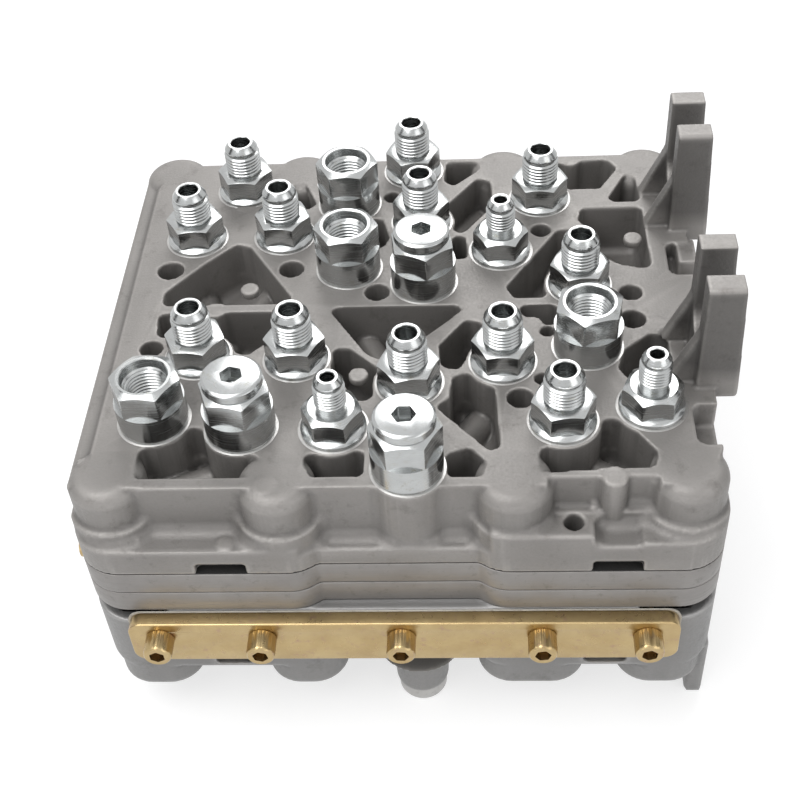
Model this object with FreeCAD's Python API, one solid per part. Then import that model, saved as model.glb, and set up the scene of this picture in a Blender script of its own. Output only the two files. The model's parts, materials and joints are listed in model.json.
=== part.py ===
import FreeCAD, Part
import math
import os

# Pilot directional control valve block: a stack of die-cast aluminium bodies and plates bolted
# together from below, with screwed-in pipe adapters on its top face, spools that slide front to back
# behind a cover plate, and shuttle poppets between the plates.
# Plan positions (x to the right, y to the rear) are measured from the drawing datum on the top face,
# and heights from that face, which is z = 0. The finished pieces are moved as one so that the part's
# origin is the middle of the underside of its overall box.

V = FreeCAD.Vector
X_AXIS = V(1, 0, 0)
Y_AXIS = V(0, 1, 0)
Z_AXIS = V(0, 0, 1)

# Castings, in plan
BODY_MID_X = -19.0
BODY_MID_Y = 15.5
FLANGE_HALF_X = 110.0
FLANGE_HALF_Y = 99.5
FLANGE_CORNER_R = 15.0
WAIST_HALF_X = 33.0
WAIST_STEP = 4.0
WAIST_RUN = 6.0
DECK_INSET_LEFT = 7.5
DECK_INSET_RIGHT = 2.0
DECK_INSET_Y = 10.0
DECK_CORNER_R = 20.0
CAST_CONCAVE_R = 3.5
OVERCUT = 1.0

# Stack, downwards from the top face
UPPER_BODY_H = 32.6
GASKET_T = 0.4
GASKET_INSET = 0.4
PLATE_T = 9.6
LOWER_BODY_H = 34.8
LOWER_BOSS_DROP = 13.5
FOOT_DROP = 30.0

UPPER_JOINT_Z = -UPPER_BODY_H
UPPER_PLATE_TOP = UPPER_JOINT_Z - GASKET_T
UPPER_PLATE_BOTTOM = UPPER_PLATE_TOP - PLATE_T
UPPER_PLATE_MID_Z = (UPPER_PLATE_TOP + UPPER_PLATE_BOTTOM) / 2
LOWER_PLATE_TOP = UPPER_PLATE_BOTTOM - GASKET_T
LOWER_PLATE_BOTTOM = LOWER_PLATE_TOP - PLATE_T
LOWER_BODY_TOP = LOWER_PLATE_BOTTOM - GASKET_T
LOWER_BODY_BOTTOM = LOWER_BODY_TOP - LOWER_BODY_H
BOLT_SEAT_Z = LOWER_BODY_BOTTOM - LOWER_BOSS_DROP
FLOOR_Z = LOWER_BODY_BOTTOM - FOOT_DROP

# Flange ledges of the upper body: how far each stands above the joint face
LEDGE_H_LEFT = 11.6
LEDGE_H_WAIST = 7.6
LEDGE_H_BLOCK = 18.1
LEDGE_H_DIP = 12.6
LEDGE_H_RIGHT = 14.1
LEDGE_BLOCK_X = (12.0, 46.0)
LEDGE_DIP_X = (46.0, 62.0)

# Assembly bolts
BOLT_OUTER_INSET_X = 14.0
BOLT_INNER_X = 39.0
BOLT_OUTER_INSET_Y = 18.0
BOLT_INNER_INSET_Y = 15.0
BOLT_BOSS_R = 12.0
BOLT_BOSS_EDGE_R = 7.0
BOLT_RING_R = 15.0
BOLT_RING_H = 17.0
BOLT_R = 4.0
BOLT_CLEARANCE = 0.5
BOLT_THREAD_GAP = 0.05
BOLT_HEAD_R = 6.5
BOLT_HEAD_H = 8.0
BOLT_SOCKET_AF = 6.0
BOLT_SOCKET_DEPTH = 4.0
BOLT_ENGAGEMENT = 18.0

# Top ports: plan position of each, by the kind of adapter screwed into it
LARGE_PORTS = [
    (-84.0, 86.5), (-100.5, 56.0), (-66.0, 56.5), (-16.5, 97.0), (-12.5, 63.0), (34.0, 76.5),
    (46.5, 24.0), (-91.0, -11.5), (-55.5, -13.5), (-15.0, -26.5), (17.5, -16.5), (37.0, -45.5),
]
SMALL_PORTS = [(18.0, 44.5), (-40.0, -47.5), (67.0, -39.5)]
OPEN_PORTS = [(-41.5, 76.0), (-39.5, 36.0), (47.5, -9.5), (-102.0, -42.5)]
PLUGGED_PORTS = [(-11.0, 27.0), (-71.5, -47.0), (-14.5, -66.0)]
PORT_BOSS_R = 13.0
PORT_STEM_R = 7.0
PORT_STEM_L = 12.0
PORT_FIT_GAP = 0.1
PORT_GALLERY_R = 3.5

# Pockets cast into the top face
POCKET_DEPTH = 22.0
POCKET_CORNER_R = 2.5
EJECTOR_R = 4.0

# Mounting brackets on the right side
BRACKET_FRONT_Y = -31.5
BRACKET_PITCH_Y = 85.2
BRACKET_SPAN_Y = 30.6
BRACKET_INSET = 8.3
BRACKET_FOOT_T = 14.3
BRACKET_TOP_T = 12.3
BRACKET_TOP_Z = 43.0
BRACKET_SLOT_W = 13.3
BRACKET_SLOT_BOTTOM_Z = 12.0
BRACKET_FOOT_Z = -6.0
BRACKET_EDGE_R = 2.0
BRACKET_FOOT_R = 3.0
GUSSET_RUN = 9.5
GUSSET_H = 21.0
GUSSET_T = 5.0
GUSSET_INSET = 3.5
GUSSET_REAR_SHIFT = 1.5
GUSSET_ROOT_Z = -3.0

# Side rib, ledge holes and pry slots
SIDE_RIB_INSET = 1.7
SIDE_RIB_INSETS_Y = (13.0, 7.0)
SIDE_RIB_Z = (-13.0, -1.0)
LEDGE_HOLE = (39.3, -77.5)
LEDGE_HOLE_R = 3.3
LEDGE_HOLE_DEPTH = 10.0
PRY_SLOT_X = [(-87.0, -70.0), (46.0, 62.5)]
PRY_SLOT_H = 5.0
PRY_SLOT_DEPTH = 3.5
NOTCH_LEFT_X = 80.5
NOTCH_Y = [(28.5, 47.0), (-57.0, -39.0)]
NOTCH_DEPTH = 11.0
NOTCH_CORNER_R = 3.0
EDGE_EJECTOR = (52.2, -70.5)

# Lower body
END_BOSS_INSETS = (15.0, 21.5)
INNER_BOSSES = [(-58.5, -53.5), (19.5, 34.0)]
LOWER_BOSS_R = 12.5
BOLT_PAD_R = 9.5
LOWER_BOSS_CHAMFER = 3.0
RELIEF_H = 6.0
RELIEF_DEPTH = 11.0
RELIEF_L = 28.0
LEG_T = 6.4
LEG_W = 16.0
LEG_SETBACK = 8.0
LEG_EDGE_R = 2.0
SPIGOT_POS = (-14.0, -71.0)
SPIGOT_R = 7.8
SPIGOT_BORE_R = 5.5
SPIGOT_CLEAR = 0.6
SPIGOT_SHANK_R = 7.0
SPIGOT_SHANK_L = 8.0
SPIGOT_FIT_GAP = 0.05
LOWER_PORTS = [(-95.0, -28.0), (-95.0, 15.5), (-95.0, 59.0), (-45.0, -28.0), (-45.0, 59.0), (20.0, 15.5)]
LOWER_PORT_BOSS_H = 6.4
UNDER_POCKET_X = [(-122.0, -98.0), (-92.0, -48.0), (-42.0, -2.0), (4.0, 42.0), (48.0, 83.0)]
UNDER_POCKET_Y = [(-50.0, -31.0), (-25.0, 12.5), (18.5, 56.0), (62.0, 81.0)]
UNDER_POCKET_DEPTH = 10.0
FRONT_SLOT_X = [(-88.0, -75.0), (45.0, 60.0)]
FRONT_SLOT_RISE = 1.5
FRONT_SLOT_H = 5.3
FRONT_SLOT_DEPTH = 3.0

# Spools, their bores and the front cover
SPOOL_X = [-66.5, -24.0, 24.0, 66.5]
SPOOL_Z_DROP = 12.0
SPOOL_BORE_R = 6.0
SPOOL_RUNNING_GAP = 0.03
SPOOL_NOSE_L = 4.0
SPOOL_NOSE_R = 3.0
SPOOL_BODY_L = 92.0
SPOOL_GROOVE_R = 3.6
SPOOL_GROOVES = [(14.0, 12.0), (40.0, 12.0), (66.0, 12.0)]
SPOOL_STROKE = 6.0
SPOOL_REST_GAP = 0.05
PLUG_R = 9.0
PLUG_GAP = 0.05
PLUG_L = 10.0
PLUG_RING_L = 2.4
PLUG_RING_DEPTH = 1.6
PLUG_RING_INSET = 4.0
SPRING_WIRE = 1.2
SPRING_MEAN_R = 4.3
SPRING_TURNS = 7
SPRING_STEPS_PER_TURN = 10
SPRING_SPARE_L = 15.6
GALLERY_R = 3.0
GALLERY_FROM_PLUG = [22.0, 48.0, 74.0]

COVER_HALF_X = 95.5
COVER_T = 5.4
COVER_Z_TOP_DROP = 0.4
COVER_H = 20.9
COVER_CORNER_R = 5.0
COVER_GASKET_T = 0.6
COVER_GASKET_LAP = 0.8
COVER_PAD_DEPTH = 6.0
SCREW_X = [-84.5, -48.5, 0.0, 48.5, 84.5]
SCREW_Z_DROP = 7.6
SCREW_R = 3.0
SCREW_HOLE_GAP = 0.3
SCREW_THREAD_GAP = 0.05
SCREW_HEAD_R = 5.0
SCREW_HEAD_H = 8.0
SCREW_SOCKET_AF = 5.0
SCREW_SOCKET_DEPTH = 4.0
SCREW_L = 16.0

# Shuttle poppets
SHUTTLES = [(-76.0, 20.0), (-30.0, 0.0), (28.0, 0.0), (58.0, 50.0)]
SHUTTLE_R = 4.0
SHUTTLE_GAP = 0.08
SHUTTLE_L = 6.6
SHUTTLE_TIP_R = 2.0
SHUTTLE_SEAT_R = 2.6
SHUTTLE_TRAVEL = 2.0
SHUTTLE_LIFT = 0.05

# Left-side gallery plug
SIDE_PLUG_SETBACK = 18.0
SIDE_PLUG_R = 3.6
SIDE_PLUG_HEAD_R = 4.6
SIDE_PLUG_HEAD_H = 1.8
SIDE_PLUG_L = 9.0
SIDE_PLUG_SOCKET_AF = 4.0
SIDE_PLUG_SOCKET_DEPTH = 1.2

# Adapters, heights above their seat
LARGE_COLLAR_R = 11.8
LARGE_COLLAR_H = 3.0
LARGE_HEX_AF = 19.0
LARGE_HEX_TOP = 10.8
LARGE_NECK_R = 6.2
LARGE_THREAD_R = 7.05
LARGE_THREAD_Z = (13.2, 20.4)
LARGE_TIP_R = 4.7
LARGE_BORE_R = 3.75
LARGE_H = 23.6
SMALL_COLLAR_R = 12.3
SMALL_COLLAR_H = 3.4
SMALL_HEX_AF = 19.0
SMALL_HEX_TOP = 10.6
SMALL_NECK_R = 4.8
SMALL_THREAD_R = 5.55
SMALL_THREAD_Z = (13.2, 20.8)
SMALL_TIP_R = 3.3
SMALL_BORE_R = 2.4
SMALL_H = 24.2
FEMALE_BASE_R = 12.0
FEMALE_BASE_H = 10.5
FEMALE_HEX_AF = 22.0
FEMALE_H = 21.3
FEMALE_MOUTH_R = 8.0
FEMALE_MOUTH_DEPTH = 2.5
FEMALE_THREAD_R = 6.4
FEMALE_THREAD_DEPTH = 14.0
CLOSING_HEAD_R = 10.2
CLOSING_HEAD_H = 3.9
CLOSING_NECK_R = 7.8
CLOSING_SHANK_L = 12.0
CLOSING_SHANK_GAP = 0.1
CLOSING_SOCKET_AF = 6.5
CLOSING_SOCKET_DEPTH = 3.5
CLOSING_SEAT_GAP = 0.2
HEX_TURN_STEP = 17.0

COS_30 = math.cos(math.radians(30))
OUTPUT = "parts"

# Places that follow from the values above
FRONT_Y = BODY_MID_Y - FLANGE_HALF_Y
REAR_Y = BODY_MID_Y + FLANGE_HALF_Y
LEFT_X = BODY_MID_X - FLANGE_HALF_X
RIGHT_X = BODY_MID_X + FLANGE_HALF_X
DECK_LEFT_X = LEFT_X + DECK_INSET_LEFT
SIDE_RIB_X = LEFT_X + SIDE_RIB_INSET
SIDE_RIB_Y = (FRONT_Y + SIDE_RIB_INSETS_Y[0], REAR_Y - SIDE_RIB_INSETS_Y[1])
SIDE_PLUG_Y = FRONT_Y + SIDE_PLUG_SETBACK
BRACKET_X = RIGHT_X - BRACKET_INSET
LEG_X = (RIGHT_X - LEG_T, RIGHT_X)
LEFT_BOSS = (LEFT_X + END_BOSS_INSETS[0], LEFT_X + END_BOSS_INSETS[1])
RIGHT_BOSS = (RIGHT_X - END_BOSS_INSETS[1], RIGHT_X - END_BOSS_INSETS[0])
LOWER_BOSSES = [LEFT_BOSS] + INNER_BOSSES + [RIGHT_BOSS]
DECK_RIGHT_X = RIGHT_X - DECK_INSET_RIGHT
DECK_HALF_Y = FLANGE_HALF_Y - DECK_INSET_Y
BOLT_OUTER_X = FLANGE_HALF_X - BOLT_OUTER_INSET_X
BOLT_OUTER_Y = FLANGE_HALF_Y - BOLT_OUTER_INSET_Y
BOLT_INNER_Y = FLANGE_HALF_Y - BOLT_INNER_INSET_Y
SPOOL_Z = LOWER_BODY_TOP - SPOOL_Z_DROP
COVER_TOP_Z = LOWER_BODY_TOP - COVER_Z_TOP_DROP
COVER_BACK_Y = FRONT_Y - COVER_GASKET_T
COVER_FRONT_Y = COVER_BACK_Y - COVER_T
SCREW_HEAD_Y = COVER_FRONT_Y - SCREW_HEAD_H
SCREW_Z = COVER_TOP_Z - SCREW_Z_DROP
BRACKET_OUT_X = BRACKET_X + BRACKET_FOOT_T
BOLT_PLACES = [
    (BODY_MID_X + side * along, BODY_MID_Y + end * across)
    for end in (-1, 1)
    for side in (-1, 1)
    for along, across in ((BOLT_OUTER_X, BOLT_OUTER_Y), (BOLT_INNER_X, BOLT_INNER_Y))
]
FRONT_BOLTS = sorted(BOLT_PLACES[:4])
ALL_PORTS = LARGE_PORTS + SMALL_PORTS + OPEN_PORTS + PLUGGED_PORTS
SPRING_L = SPRING_TURNS * SPRING_WIRE + SPOOL_STROKE + SPRING_SPARE_L
SPOOL_BORE_DEPTH = PLUG_L + SPOOL_BODY_L + SPRING_L + 3 * SPOOL_REST_GAP
SHUTTLE_SEATED_L = SHUTTLE_L - 2 * (SHUTTLE_SEAT_R - SHUTTLE_TIP_R)
SHUTTLE_POCKET_DEPTH = SHUTTLE_SEATED_L + SHUTTLE_TRAVEL + 2 * SHUTTLE_LIFT - GASKET_T
BOX_MID_X = (LEFT_X - SIDE_PLUG_HEAD_H + BRACKET_OUT_X) / 2
BOX_MID_Y = (SCREW_HEAD_Y + REAR_Y) / 2
TO_ORIGIN = V(-BOX_MID_X, -BOX_MID_Y, -FLOOR_Z)


def box(x_range, y_range, z_range):
    low = V(x_range[0], y_range[0], z_range[0])
    return Part.makeBox(x_range[1] - x_range[0], y_range[1] - y_range[0], z_range[1] - z_range[0], low)


def post(place, radius, z_low, z_high):
    return Part.makeCylinder(radius, z_high - z_low, V(place[0], place[1], z_low), Z_AXIS)


def rod(x, z, radius, y_front, y_back):
    return Part.makeCylinder(radius, y_back - y_front, V(x, y_front, z), Y_AXIS)


def plan_face(points):
    corners = [V(x, y, 0) for x, y in points]
    return Part.Face(Part.makePolygon(corners + corners[:1]))


def plan_disc(place, radius):
    edge = Part.makeCircle(radius, V(place[0], place[1], 0), Z_AXIS)
    return Part.Face(Part.Wire(edge))


def plan_rectangle(x_range, y_range):
    x_low, x_high = x_range
    y_low, y_high = y_range
    return plan_face([(x_low, y_low), (x_high, y_low), (x_high, y_high), (x_low, y_high)])


def round_outward(face, radius):
    """Rounds the corners that point out of a plan outline."""
    return face.makeOffset2D(-radius).makeOffset2D(radius)


def round_inward(face, radius):
    """Rounds the corners that point into a plan outline."""
    return face.makeOffset2D(radius).makeOffset2D(-radius)


def prism(face, z_low, z_high):
    lowered = face.copy()
    lowered.translate(V(0, 0, z_low))
    return lowered.extrude(V(0, 0, z_high - z_low))


def turned(profile):
    """A turned piece on the z axis from its (radius, height) profile."""
    corners = [V(radius, 0, height) for radius, height in profile]
    face = Part.Face(Part.makePolygon(corners + corners[:1]))
    return face.revolve(V(0, 0, 0), Z_AXIS, 360)


def hexagon(across_flats, z_low, z_high):
    corner_r = across_flats / 2 / COS_30
    angles = [math.radians(60 * step) for step in range(6)]
    face = plan_face([(corner_r * math.cos(a), corner_r * math.sin(a)) for a in angles])
    return prism(face, z_low, z_high)


def place_copies(piece, places, base_z, turn_step=0.0):
    """Copies of a piece made at the origin, each turned a little further than the last."""
    copies = []
    for number, place in enumerate(places):
        copy = piece.copy()
        copy.rotate(V(0, 0, 0), Z_AXIS, turn_step * number)
        copy.translate(V(place[0], place[1], base_z))
        copies.append(copy)
    return copies


def front_to_rear(shape):
    """The same shape, mirrored to the rear side of the castings."""
    return shape.mirror(V(0, BODY_MID_Y, 0), Y_AXIS)


def save(name, solids):
    shape = Part.Compound(solids) if len(solids) > 1 else solids[0]
    shape.translate(TO_ORIGIN)
    shape.exportStep(os.path.join(OUTPUT, name + ".step"))


def flange_outline():
    """The outline that the flange, plates, gaskets and lower body share, waisted at its middle."""
    half_x = FLANGE_HALF_X
    half_y = FLANGE_HALF_Y
    waist = WAIST_HALF_X
    run = waist - WAIST_RUN
    step = half_y - WAIST_STEP
    front = [(-half_x, -half_y), (-waist, -half_y), (-run, -step), (run, -step), (waist, -half_y)]
    front += [(half_x, -half_y)]
    outline = front + [(-x, -y) for x, y in front]
    return [(BODY_MID_X + x, BODY_MID_Y + y) for x, y in outline]


def flange_face():
    sharp = plan_face(flange_outline())
    return round_inward(round_outward(sharp, FLANGE_CORNER_R), CAST_CONCAVE_R)


FLANGE = flange_face()


def pocket_outlines():
    """Rough outlines of the top pockets; the port bosses bite their arcs out of them."""
    return [
        [(-108.5, 24), (-108.5, 16.5), (-60.5, 16.5), (-60.5, 20), (-79, 50), (-84.5, 52), (-96, 40)],
        [(-109, 12), (-66, 12), (-64, -1), (-73, -11), (-85, -8), (-108, 0)],
        [(-105, -69.3), (-63.5, -69.3), (-63.5, -61), (-76, -50), (-92, -45), (-105, -56)],
        [(-49, -64), (-46, -69.5), (-29, -69.5), (-29, -58), (-49, -58)],
        [(-43, -8.5), (-37, -8.5), (-26, -19), (-28, -34), (-33, -35), (-43, -18)],
        [(-46.5, 13.7), (3, 13.7), (3, 10.5), (-12, -5), (-26.5, -14.5), (-31, -11)],
        [(4.5, 5.5), (10.5, 4), (10.5, -3), (2, -20.5), (-4, -18.5), (-5, -8)],
        [(23.5, 13), (38.5, 13), (36, -4), (29, -4)],
        [(19.5, 23), (22.5, 17), (33, 17), (49, 40), (46, 57), (40, 56)],
        [(48.5, 62), (50, 69.5), (73.5, 69.5), (74, 33), (69, 33), (62.5, 35), (56, 40), (54, 54)],
        [(60, 73.5), (73.5, 73.5), (72.5, 90.5), (68.5, 90.5)],
        [(26, 99), (62.5, 101.5), (66, 95.5), (58, 82), (45, 82), (28, 86)],
        [(-2.5, 74), (-1, 57), (4, 56), (15.5, 73), (14.5, 89), (9.5, 91)],
        [(-4, 90), (0, 86), (11, 98), (9.5, 102.5), (-3, 102.5)],
        [(-0.5, 54), (4.5, 54), (5.5, 40), (-0.5, 40)],
        [(-34, 67), (-28, 65.5), (-25, 54), (-27, 48), (-33, 48)],
        [(-29, 80), (-22, 86), (-22, 72)],
        [(-68, 90), (-60.5, 90), (-55, 76), (-60, 72)],
        [(0, -24), (6, -21), (14.5, -30), (15.8, -57), (12.5, -59), (-6, -38), (-1, -34)],
        [(-2, -60), (5.5, -57), (11.5, -64), (10, -70), (-2, -70)],
        [(28, -68.5), (66, -66.5), (67, -60), (57, -45), (49, -45), (29, -58)],
        [(57.5, -21), (61, -27), (75, -22), (76, -5), (70, -3.5), (60, -12)],
    ]


ROUND_POCKETS = [
    ((-108.3, 36.7), 5.0), ((-61.7, 36.2), 4.7), ((-108.8, -7.0), 4.2), ((64.5, 4.2), 4.7),
    ((65.0, 18.8), 4.2), ((-28.3, 21.8), 4.6), ((33.7, 56.4), 3.8), ((23.2, -34.7), 4.6),
    ((31.2, -25.5), 3.0),
]
EJECTORS = [(-88.0, 13.5), (28.5, 2.5), (47.5, 102.0), (49.5, -70.5)]


def pocket_faces():
    keep_out = [plan_disc(place, PORT_BOSS_R) for place in ALL_PORTS]
    keep_out += [plan_disc(place, EJECTOR_R) for place in EJECTORS]
    faces = []
    for outline in pocket_outlines():
        pieces = plan_face(outline).cut(keep_out).Faces
        remaining = max(pieces, key=lambda piece: piece.Area)
        faces += round_outward(remaining, POCKET_CORNER_R).Faces
    faces += [plan_disc(place, radius) for place, radius in ROUND_POCKETS]
    return faces


def deck_outline():
    """The upper body above its flange: walls with the port bosses that stand out of them."""
    walls = plan_rectangle(
        (DECK_LEFT_X, DECK_RIGHT_X), (BODY_MID_Y - DECK_HALF_Y, BODY_MID_Y + DECK_HALF_Y)
    )
    walls = round_outward(walls, DECK_CORNER_R)
    lobes = [plan_disc(place, PORT_BOSS_R) for place in ALL_PORTS]
    lobes.append(plan_disc(EDGE_EJECTOR, EJECTOR_R))
    joined = max(walls.fuse(lobes).removeSplitter().Faces, key=lambda face: face.Area)
    return round_inward(joined, CAST_CONCAVE_R)


def bolt_domes():
    """The round-shouldered bosses over the bolts, each standing in a ring on the flange."""
    dome = post((0, 0), BOLT_BOSS_R, UPPER_JOINT_Z, 0)
    rim = [edge for edge in dome.Edges if edge.BoundBox.ZMin > -OVERCUT]
    dome = dome.makeFillet(BOLT_BOSS_EDGE_R, rim)
    rings = []
    for place in BOLT_PLACES:
        footing = FLANGE.common(plan_disc(place, BOLT_RING_R)).Faces[0]
        rings.append(prism(footing, UPPER_JOINT_Z, UPPER_JOINT_Z + BOLT_RING_H))
    return place_copies(dome, BOLT_PLACES, 0) + rings


def flange_ledges():
    """The flange, with each stretch of its front and rear ledge at its own height."""
    full_y = (FRONT_Y - OVERCUT, REAR_Y + OVERCUT)
    left = LEFT_X - OVERCUT
    right = BODY_MID_X + FLANGE_HALF_X + OVERCUT
    waist_left = BODY_MID_X - WAIST_HALF_X
    spans = [
        ((left, waist_left), LEDGE_H_LEFT),
        ((waist_left, LEDGE_BLOCK_X[0]), LEDGE_H_WAIST),
        (LEDGE_BLOCK_X, LEDGE_H_BLOCK),
        (LEDGE_DIP_X, LEDGE_H_DIP),
        ((LEDGE_DIP_X[1], right), LEDGE_H_RIGHT),
    ]
    ledges = []
    for x_range, height in spans:
        strip = plan_rectangle(x_range, full_y)
        ledges.append(prism(FLANGE.common(strip).Faces[0], UPPER_JOINT_Z, UPPER_JOINT_Z + height))
    return ledges


def bracket(front_y):
    """A two-pronged bracket with an open slot between its prongs and a gusset behind each."""
    back_y = front_y + BRACKET_SPAN_Y
    mid_y = (front_y + back_y) / 2
    slot_r = BRACKET_SLOT_W / 2
    plate = box((BRACKET_X, BRACKET_OUT_X), (front_y, back_y), (BRACKET_FOOT_Z, BRACKET_TOP_Z))
    along_x = [edge for edge in plate.Edges if edge_runs_along(edge, X_AXIS)]
    feet = [edge for edge in along_x if edge.CenterOfMass.z < 0]
    plate = plate.makeFillet(BRACKET_FOOT_R, feet)
    along_x = [edge for edge in plate.Edges if edge_runs_along(edge, X_AXIS)]
    tips = [edge for edge in along_x if edge.CenterOfMass.z > BRACKET_TOP_Z - OVERCUT]
    plate = plate.makeFillet(BRACKET_EDGE_R, tips)
    slot_z = BRACKET_SLOT_BOTTOM_Z + slot_r
    inner_x = BRACKET_X - OVERCUT
    slot = box((inner_x, BRACKET_OUT_X + OVERCUT), (mid_y - slot_r, mid_y + slot_r),
               (slot_z, BRACKET_TOP_Z + OVERCUT))
    slot_end = Part.makeCylinder(slot_r, BRACKET_FOOT_T + 2 * OVERCUT, V(inner_x, mid_y, slot_z), X_AXIS)
    wedge_y = front_y - OVERCUT
    taper = [
        V(BRACKET_OUT_X, wedge_y, 0),
        V(BRACKET_OUT_X + OVERCUT, wedge_y, BRACKET_TOP_Z + OVERCUT),
        V(BRACKET_X + BRACKET_TOP_T, wedge_y, BRACKET_TOP_Z + OVERCUT),
    ]
    wedge_run = V(0, BRACKET_SPAN_Y + 2 * OVERCUT, 0)
    wedge = Part.Face(Part.makePolygon(taper + taper[:1])).extrude(wedge_run)
    plate = plate.cut([slot, slot_end, wedge])
    rear_gusset_y = back_y - GUSSET_INSET - GUSSET_T + GUSSET_REAR_SHIFT
    ribs = [gusset(front_y + GUSSET_INSET), gusset(rear_gusset_y)]
    return plate.fuse(ribs).removeSplitter()


def brackets():
    """Both brackets, each ending on the faces of the upper body that it stands against."""
    deck = prism(deck_outline(), UPPER_JOINT_Z, 0)
    whole = [bracket(BRACKET_FRONT_Y + row * BRACKET_PITCH_Y) for row in range(2)]
    return [piece.cut(deck).Solids[0] for piece in whole]


def edge_runs_along(edge, axis):
    return abs(edge.tangentAt(edge.FirstParameter).dot(axis)) > 0.999


def gusset(y_low):
    corners = [
        V(BRACKET_X - GUSSET_RUN, y_low, GUSSET_ROOT_Z),
        V(BRACKET_X + OVERCUT, y_low, GUSSET_ROOT_Z),
        V(BRACKET_X + OVERCUT, y_low, GUSSET_H),
        V(BRACKET_X, y_low, GUSSET_H),
        V(BRACKET_X - GUSSET_RUN, y_low, 0),
    ]
    return Part.Face(Part.makePolygon(corners + corners[:1])).extrude(V(0, GUSSET_T, 0))


def port_bore(place):
    """The stepped hole under a top port, down to the joint face."""
    stem = post(place, PORT_STEM_R + PORT_FIT_GAP, -PORT_STEM_L - OVERCUT, OVERCUT)
    gallery = post(place, PORT_GALLERY_R, UPPER_JOINT_Z - OVERCUT, -PORT_STEM_L)
    return [stem, gallery]


def pry_slots():
    y_range = (FRONT_Y - OVERCUT, FRONT_Y + PRY_SLOT_DEPTH)
    z_range = (UPPER_JOINT_Z - OVERCUT, UPPER_JOINT_Z + PRY_SLOT_H)
    front = [box(x_range, y_range, z_range) for x_range in PRY_SLOT_X]
    return front + [front_to_rear(slot) for slot in front]


def edge_notches():
    """Notches in the right edge of the top face, open to the side."""
    notches = []
    for y_range in NOTCH_Y:
        outline = plan_rectangle((NOTCH_LEFT_X, DECK_RIGHT_X + PORT_BOSS_R), y_range)
        outline = round_outward(outline, NOTCH_CORNER_R)
        notches.append(prism(outline, -NOTCH_DEPTH, OVERCUT))
    return notches


def upper_body():
    solid = prism(deck_outline(), UPPER_JOINT_Z, 0)
    additions = flange_ledges() + bolt_domes()
    additions.append(box((SIDE_RIB_X, DECK_LEFT_X + OVERCUT), SIDE_RIB_Y, SIDE_RIB_Z))
    solid = solid.fuse(additions).removeSplitter()
    cuts = [prism(face, -POCKET_DEPTH, OVERCUT) for face in pocket_faces()]
    for place in ALL_PORTS:
        cuts += port_bore(place)
    thread_low = UPPER_JOINT_Z - OVERCUT
    thread_high = UPPER_JOINT_Z + BOLT_ENGAGEMENT + OVERCUT
    cuts += [post(place, BOLT_R + BOLT_THREAD_GAP, thread_low, thread_high) for place in BOLT_PLACES]
    cuts += edge_notches()
    ledge_top = UPPER_JOINT_Z + LEDGE_H_BLOCK
    cuts.append(post(LEDGE_HOLE, LEDGE_HOLE_R, ledge_top - LEDGE_HOLE_DEPTH, ledge_top + OVERCUT))
    cuts += pry_slots()
    return solid.cut(cuts).removeSplitter()


def sheet(z_low, z_high, hole_r, shuttle_r, inset=0.0):
    """A plate or gasket with the bolt holes and a hole at each shuttle."""
    outline = FLANGE.makeOffset2D(-inset) if inset else FLANGE
    holes = [post(place, hole_r, z_low - OVERCUT, z_high + OVERCUT) for place in BOLT_PLACES]
    holes += [post(place, shuttle_r, z_low - OVERCUT, z_high + OVERCUT) for place in SHUTTLES]
    return prism(outline, z_low, z_high).cut(holes)


def gasket(z_high):
    z_low = z_high - GASKET_T
    return sheet(z_low, z_high, BOLT_R + BOLT_CLEARANCE, SHUTTLE_R + SHUTTLE_GAP, GASKET_INSET)


def upper_plate():
    plate = sheet(UPPER_PLATE_BOTTOM, UPPER_PLATE_TOP, BOLT_R + BOLT_CLEARANCE, SHUTTLE_SEAT_R)
    mouth = V(LEFT_X - OVERCUT, SIDE_PLUG_Y, UPPER_PLATE_MID_Z)
    drilling = Part.makeCylinder(SIDE_PLUG_R + PLUG_GAP, SIDE_PLUG_L + 2 * OVERCUT, mouth, X_AXIS)
    return plate.cut(drilling)


def lower_plate():
    plate = sheet(LOWER_PLATE_BOTTOM, LOWER_PLATE_TOP, BOLT_R + BOLT_CLEARANCE, SHUTTLE_SEAT_R)
    floor = LOWER_PLATE_TOP - SHUTTLE_POCKET_DEPTH
    top = LOWER_PLATE_TOP + OVERCUT
    pockets = [post(place, SHUTTLE_R + SHUTTLE_GAP, floor, top) for place in SHUTTLES]
    return plate.cut(pockets)


def shuttle():
    """A shuttle poppet standing on z = 0 at the edge of its lower seat."""
    cone_h = SHUTTLE_R - SHUTTLE_TIP_R
    sunk = SHUTTLE_SEAT_R - SHUTTLE_TIP_R - SHUTTLE_LIFT
    profile = [
        (0, -sunk),
        (SHUTTLE_TIP_R, -sunk),
        (SHUTTLE_R, cone_h - sunk),
        (SHUTTLE_R, SHUTTLE_L - cone_h - sunk),
        (SHUTTLE_TIP_R, SHUTTLE_L - sunk),
        (0, SHUTTLE_L - sunk),
    ]
    return turned(profile)


def lower_boss(x_range, bolt_place):
    """A long round-ended boss under the front edge of the lower body, with a pad for its bolt."""
    y_mid = FRONT_Y + LOWER_BOSS_R
    rounds = [plan_disc((x, y_mid), LOWER_BOSS_R) for x in x_range]
    rounds.append(plan_disc(bolt_place, BOLT_PAD_R))
    middle = plan_rectangle(x_range, (y_mid - LOWER_BOSS_R, y_mid + LOWER_BOSS_R))
    outline = middle.fuse(rounds).removeSplitter().Faces[0]
    outline = round_inward(outline, CAST_CONCAVE_R).Faces[0]
    bottom = LOWER_BODY_BOTTOM - LOWER_BOSS_DROP
    boss = prism(outline, bottom, LOWER_BODY_TOP - RELIEF_H)
    rim = [edge for edge in boss.Edges if edge.BoundBox.ZMax < bottom + OVERCUT]
    return boss.makeChamfer(LOWER_BOSS_CHAMFER, rim)


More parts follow.
